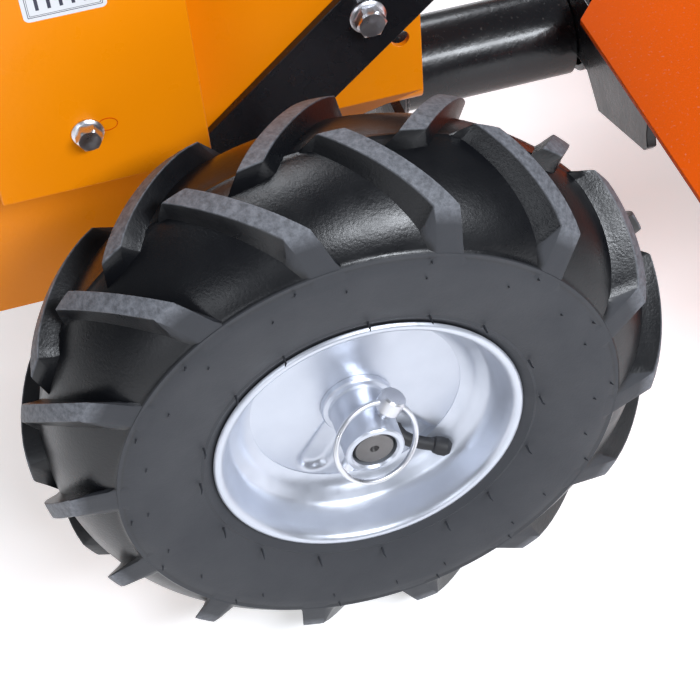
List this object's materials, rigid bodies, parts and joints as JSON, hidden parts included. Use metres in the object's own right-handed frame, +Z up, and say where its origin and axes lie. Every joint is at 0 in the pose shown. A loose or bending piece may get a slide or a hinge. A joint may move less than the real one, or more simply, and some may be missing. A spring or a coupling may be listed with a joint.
{
  "type": "brush mower",
  "caption": "Walk-behind brush mower: two-wheeled powered tractor with lugged tyres, an engine and belt drive, handlebars, and a rolling rotary brush deck carried in front on a neck tube.",
  "frame": {"origin": "middle of the machine's bounding box, on the ground", "axes": "+X forward towards the deck, +Y to the operator's left, +Z up"},
  "size_m": [1.8334, 0.672, 1.0166],
  "materials": {
    "panel_paint": "glossy",
    "deck_paint": "glossy",
    "black_paint": "glossy",
    "rim_paint": "satin",
    "tyre_rubber": "matte",
    "soft_rubber": "matte",
    "zinc_steel": "satin",
    "bare_steel": "brushed",
    "cast_alloy": "cast",
    "cast_iron": "cast",
    "black_plastic": "matte"
  },
  "bodies": {
    "frame": {"side_plate_right": "panel_paint", "side_plate_left": "panel_paint", "engine_platform": "panel_paint", "neck_tube": "black_paint", "gearbox_case": "cast_alloy", "drive_belt": "soft_rubber", "belt_guard": "panel_paint", "guard_bolt": "zinc_steel", "platform_brace": "black_paint", "brace_bolt": "zinc_steel", "engine_block": "cast_alloy", "fan_shroud": "black_paint", "fuel_tank": "panel_paint", "muffler": "cast_iron", "air_cleaner": "black_plastic", "handlebar_mount": "black_paint"},
    "wheels": {"drive_axle": "bare_steel", "tyre_right": "tyre_rubber", "tyre_left": "tyre_rubber", "rim_right": "rim_paint", "rim_left": "rim_paint", "hub_right": "rim_paint", "hub_left": "rim_paint", "linch_pin_right": "zinc_steel", "linch_pin_left": "zinc_steel", "valve_right": "soft_rubber", "valve_left": "soft_rubber"},
    "right_ring": {"linch_ring_right": "zinc_steel"},
    "left_ring": {"linch_ring_left": "zinc_steel"},
    "crankshaft": {"engine_pulley": "cast_iron"},
    "input_shaft": {"input_shaft": "bare_steel"},
    "transfer_shaft": {"transfer_shaft": "bare_steel"},
    "idler_gear": {"idler_gear": "bare_steel"},
    "pto_shaft": {"pto_shaft": "bare_steel"},
    "jockey_arm": {"tension_arm": "zinc_steel"},
    "jockey_pulley": {"tension_pulley": "cast_iron"},
    "fuel_cap": {"fuel_cap": "black_plastic"},
    "recoil_handle": {"recoil_handle": "black_plastic"},
    "gear_lever": {"gear_lever": "black_paint"},
    "handlebar": {"handlebar_pivot": "black_paint", "handlebar_right": "black_paint", "handlebar_left": "black_paint", "grip_right": "soft_rubber", "grip_left": "soft_rubber", "handlebar_bridge": "black_paint"},
    "blade_lever": {"blade_lever": "zinc_steel"},
    "drive_lever": {"drive_lever": "zinc_steel"},
    "throttle_lever": {"throttle_lever": "black_plastic"},
    "deck": {"deck_shell": "deck_paint", "deck_bracket": "black_paint", "deck_tube": "black_paint", "deck_gearbox": "cast_alloy", "skid_right": "black_paint", "skid_left": "black_paint", "brush_bar": "black_paint"},
    "blade": {"blade_spindle": "bare_steel", "blade_disc": "cast_iron"},
    "front_knife": {"knife_front": "bare_steel"},
    "rear_knife": {"knife_rear": "bare_steel"},
    "front_flap": {"front_flap": "soft_rubber"}
  },
  "joints": [
    {"name": "wheel_turn", "type": "hinge", "parent": "frame", "child": "wheels", "pos_m": [0.00366, 0, 0.186], "axis": [0, 1, 0], "continuous": true},
    {"name": "right_ring_flip", "type": "hinge", "parent": "wheels", "child": "right_ring", "pos_m": [0.01744, -0.316, 0.20805], "axis": [-0.848, 0, 0.5299], "range_deg": [0, 140]},
    {"name": "left_ring_flip", "type": "hinge", "parent": "wheels", "child": "left_ring", "pos_m": [-0.01012, 0.316, 0.20805], "axis": [0.848, 0, 0.5299], "range_deg": [0, 140]},
    {"name": "crank_turn", "type": "hinge", "parent": "frame", "child": "crankshaft", "pos_m": [-0.10034, -0.151, 0.546], "axis": [0, 1, 0], "continuous": true},
    {"name": "input_turn", "type": "hinge", "parent": "frame", "child": "input_shaft", "pos_m": [-0.10034, 0, 0.352], "axis": [0, 1, 0], "continuous": true},
    {"name": "transfer_turn", "type": "hinge", "parent": "frame", "child": "transfer_shaft", "pos_m": [0.00366, 0, 0.352], "axis": [1, 0, 0], "continuous": true},
    {"name": "idler_turn", "type": "hinge", "parent": "frame", "child": "idler_gear", "pos_m": [0.03866, 0, 0.272], "axis": [1, 0, 0], "continuous": true},
    {"name": "pto_turn", "type": "hinge", "parent": "frame", "child": "pto_shaft", "pos_m": [0.00366, 0, 0.183], "axis": [1, 0, 0], "continuous": true},
    {"name": "jockey_arm_swing", "type": "hinge", "parent": "frame", "child": "jockey_arm", "pos_m": [-0.11434, -0.134, 0.412], "axis": [0, 1, 0], "range_deg": [0, 34]},
    {"name": "jockey_pulley_turn", "type": "hinge", "parent": "jockey_arm", "child": "jockey_pulley", "pos_m": [-0.09034, -0.148, 0.452], "axis": [0, 1, 0], "continuous": true},
    {"name": "fuel_cap_turn", "type": "hinge", "parent": "frame", "child": "fuel_cap", "pos_m": [-0.08834, 0.022, 0.7503], "axis": [0, 0, 1], "range_deg": [0, 90]},
    {"name": "recoil_pull", "type": "slide", "parent": "frame", "child": "recoil_handle", "axis": [-0.6, 0, 0.8], "range_m": [0, 0.36], "stiffness_N_per_m": 20, "springref_m": -0.08},
    {"name": "gear_shift", "type": "hinge", "parent": "frame", "child": "gear_lever", "pos_m": [-0.25674, 0.06, 0.38], "axis": [0, 1, 0], "range_deg": [-8, 8]},
    {"name": "handlebar_height", "type": "hinge", "parent": "frame", "child": "handlebar", "pos_m": [-0.21834, 0, 0.47], "axis": [0, 1, 0], "range_deg": [-12, 20]},
    {"name": "blade_lever_squeeze", "type": "hinge", "parent": "handlebar", "child": "blade_lever", "pos_m": [-0.76534, -0.25, 0.9308], "axis": [0, 1, 0], "range_deg": [0, 20], "stiffness_Nm_per_rad": 1.5, "springref_deg": -11.46},
    {"name": "drive_lever_squeeze", "type": "hinge", "parent": "handlebar", "child": "drive_lever", "pos_m": [-0.76534, 0.25, 0.9308], "axis": [0, 1, 0], "range_deg": [0, 20], "stiffness_Nm_per_rad": 1.5, "springref_deg": -11.46},
    {"name": "throttle_set", "type": "hinge", "parent": "handlebar", "child": "throttle_lever", "pos_m": [-0.63034, -0.0716, 0.8946], "axis": [0, 1, 0], "range_deg": [-30, 30]},
    {"name": "deck_roll", "type": "hinge", "parent": "frame", "child": "deck", "pos_m": [0.24266, 0, 0.183], "axis": [1, 0, 0], "range_deg": [-8, 8]},
    {"name": "blade_turn", "type": "hinge", "parent": "deck", "child": "blade", "pos_m": [0.62866, 0, 0.078], "axis": [0, 0, 1], "continuous": true},
    {"name": "front_knife_swing", "type": "hinge", "parent": "blade", "child": "front_knife", "pos_m": [0.77866, 0, 0.078], "axis": [0, 0, 1], "range_deg": [-80, 80]},
    {"name": "rear_knife_swing", "type": "hinge", "parent": "blade", "child": "rear_knife", "pos_m": [0.47866, 0, 0.078], "axis": [0, 0, 1], "range_deg": [-80, 80]},
    {"name": "front_flap_swing", "type": "hinge", "parent": "deck", "child": "front_flap", "pos_m": [0.91066, 0, 0.225], "axis": [0, 1, 0], "range_deg": [-80, 0]}
  ],
  "couplings": [
    {"joint": "input_turn", "follows": "crank_turn", "ratio": 0.83333},
    {"joint": "transfer_turn", "follows": "crank_turn", "ratio": 0.83333},
    {"joint": "idler_turn", "follows": "crank_turn", "ratio": -0.40124},
    {"joint": "pto_turn", "follows": "crank_turn", "ratio": 0.61905},
    {"joint": "blade_turn", "follows": "crank_turn", "ratio": -0.61905},
    {"joint": "jockey_arm_swing", "follows": "drive_lever_squeeze", "ratio": 1.7}
  ]
}
